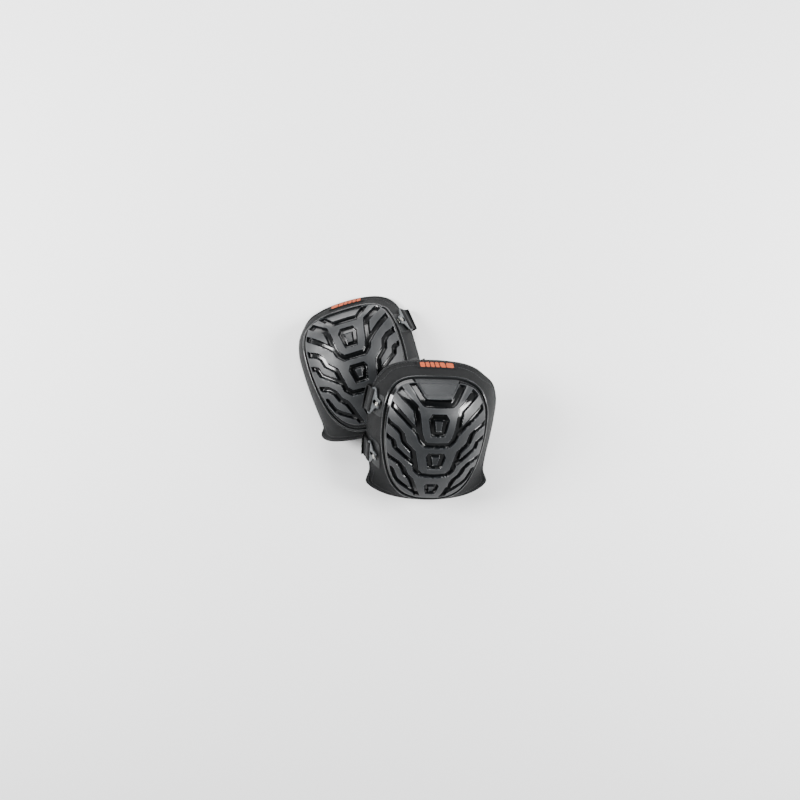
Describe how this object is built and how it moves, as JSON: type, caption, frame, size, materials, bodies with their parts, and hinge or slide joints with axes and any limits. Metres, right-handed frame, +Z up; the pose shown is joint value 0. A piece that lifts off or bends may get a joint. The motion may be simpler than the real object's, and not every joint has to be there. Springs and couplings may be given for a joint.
{
  "type": "knee pads",
  "caption": "Pair of strap-on gel knee pads with moulded tread caps, padded fabric bodies and clip straps; one lies flat and one leans on it.",
  "frame": {"origin": "bottom centre of the box round the pair, on the floor", "axes": "+Z up; +Y away from the viewer, towards the top edges of both pads; +X to the right, from the left-knee pad to the right-knee pad"},
  "size_m": [0.3234, 0.347, 0.1615],
  "materials": {
    "moulded_cap": "satin moulded black PVC",
    "piping": "satin extruded cord",
    "cover_cloth": "woven black polyester",
    "lining_mesh": "knitted air mesh",
    "binding_tape": "black binding tape",
    "foam": "grey foam",
    "gel": "clear blue gel",
    "label_patch": "woven black patch with orange bars",
    "webbing": "black elastic webbing",
    "patch_cloth": "coated cloth",
    "clip_plastic": "grey moulded nylon",
    "slider_plastic": "black moulded nylon",
    "stud_metal": "nickel-plated steel"
  },
  "bodies": {
    "left_pad": {"left_cap": "moulded_cap", "left_cap_piping": "piping", "left_cover": "cover_cloth", "left_edge_binding": "binding_tape", "left_foam_core": "foam", "left_gel_insert": "gel", "left_label": "label_patch", "left_lining": "lining_mesh", "left_lower_anchor": "patch_cloth", "left_lower_strap": "webbing", "left_lower_stud": "stud_metal", "left_lower_stud_patch": "patch_cloth", "left_upper_anchor": "patch_cloth", "left_upper_strap": "webbing", "left_upper_stud": "stud_metal", "left_upper_stud_patch": "patch_cloth"},
    "right_pad": {"right_cap": "moulded_cap", "right_cap_piping": "piping", "right_cover": "cover_cloth", "right_edge_binding": "binding_tape", "right_foam_core": "foam", "right_gel_insert": "gel", "right_label": "label_patch", "right_lining": "lining_mesh", "right_lower_anchor": "patch_cloth", "right_lower_strap": "webbing", "right_lower_stud": "stud_metal", "right_lower_stud_patch": "patch_cloth", "right_upper_anchor": "patch_cloth", "right_upper_strap": "webbing", "right_upper_stud": "stud_metal", "right_upper_stud_patch": "patch_cloth"},
    "left_upper_clip": {"left_upper_clip": "clip_plastic", "left_upper_strap_loop": "webbing"},
    "left_upper_slider": {"left_upper_slider": "slider_plastic"},
    "left_lower_clip": {"left_lower_clip": "clip_plastic", "left_lower_strap_loop": "webbing"},
    "left_lower_slider": {"left_lower_slider": "slider_plastic"},
    "right_upper_clip": {"right_upper_clip": "clip_plastic", "right_upper_strap_loop": "webbing"},
    "right_upper_slider": {"right_upper_slider": "slider_plastic"},
    "right_lower_clip": {"right_lower_clip": "clip_plastic", "right_lower_strap_loop": "webbing"},
    "right_lower_slider": {"right_lower_slider": "slider_plastic"}
  },
  "joints": [
    {"name": "right_pad_lift", "type": "slide", "parent": "left_pad", "child": "right_pad", "axis": [0, 0, 1], "range_m": [0, 0.15]},
    {"name": "left_upper_clip_unhook", "type": "slide", "parent": "left_pad", "child": "left_upper_clip", "axis": [-0.5957, -0.1689, 0.7852], "range_m": [0, 0.0065]},
    {"name": "left_upper_slider_adjust", "type": "slide", "parent": "left_pad", "child": "left_upper_slider", "axis": [0.9566, 0.2914, 0], "range_m": [-0.015, 0.015]},
    {"name": "left_lower_clip_unhook", "type": "slide", "parent": "left_pad", "child": "left_lower_clip", "axis": [-0.5412, -0.2671, 0.7973], "range_m": [0, 0.0065]},
    {"name": "left_lower_slider_adjust", "type": "slide", "parent": "left_pad", "child": "left_lower_slider", "axis": [0.9539, 0.3, 0], "range_m": [-0.015, 0.015]},
    {"name": "right_upper_clip_unhook", "type": "slide", "parent": "right_pad", "child": "right_upper_clip", "axis": [0.6777, -0.4016, 0.6159], "range_m": [0, 0.0065]},
    {"name": "right_upper_slider_adjust", "type": "slide", "parent": "right_pad", "child": "right_upper_slider", "axis": [0.9942, -0.0249, -0.105], "range_m": [-0.015, 0.015]},
    {"name": "right_lower_clip_unhook", "type": "slide", "parent": "right_pad", "child": "right_lower_clip", "axis": [0.6471, -0.5019, 0.5739], "range_m": [0, 0.0065]},
    {"name": "right_lower_slider_adjust", "type": "slide", "parent": "right_pad", "child": "right_lower_slider", "axis": [0.9244, 0.1202, -0.3621], "range_m": [-0.015, 0.015]}
  ]
}
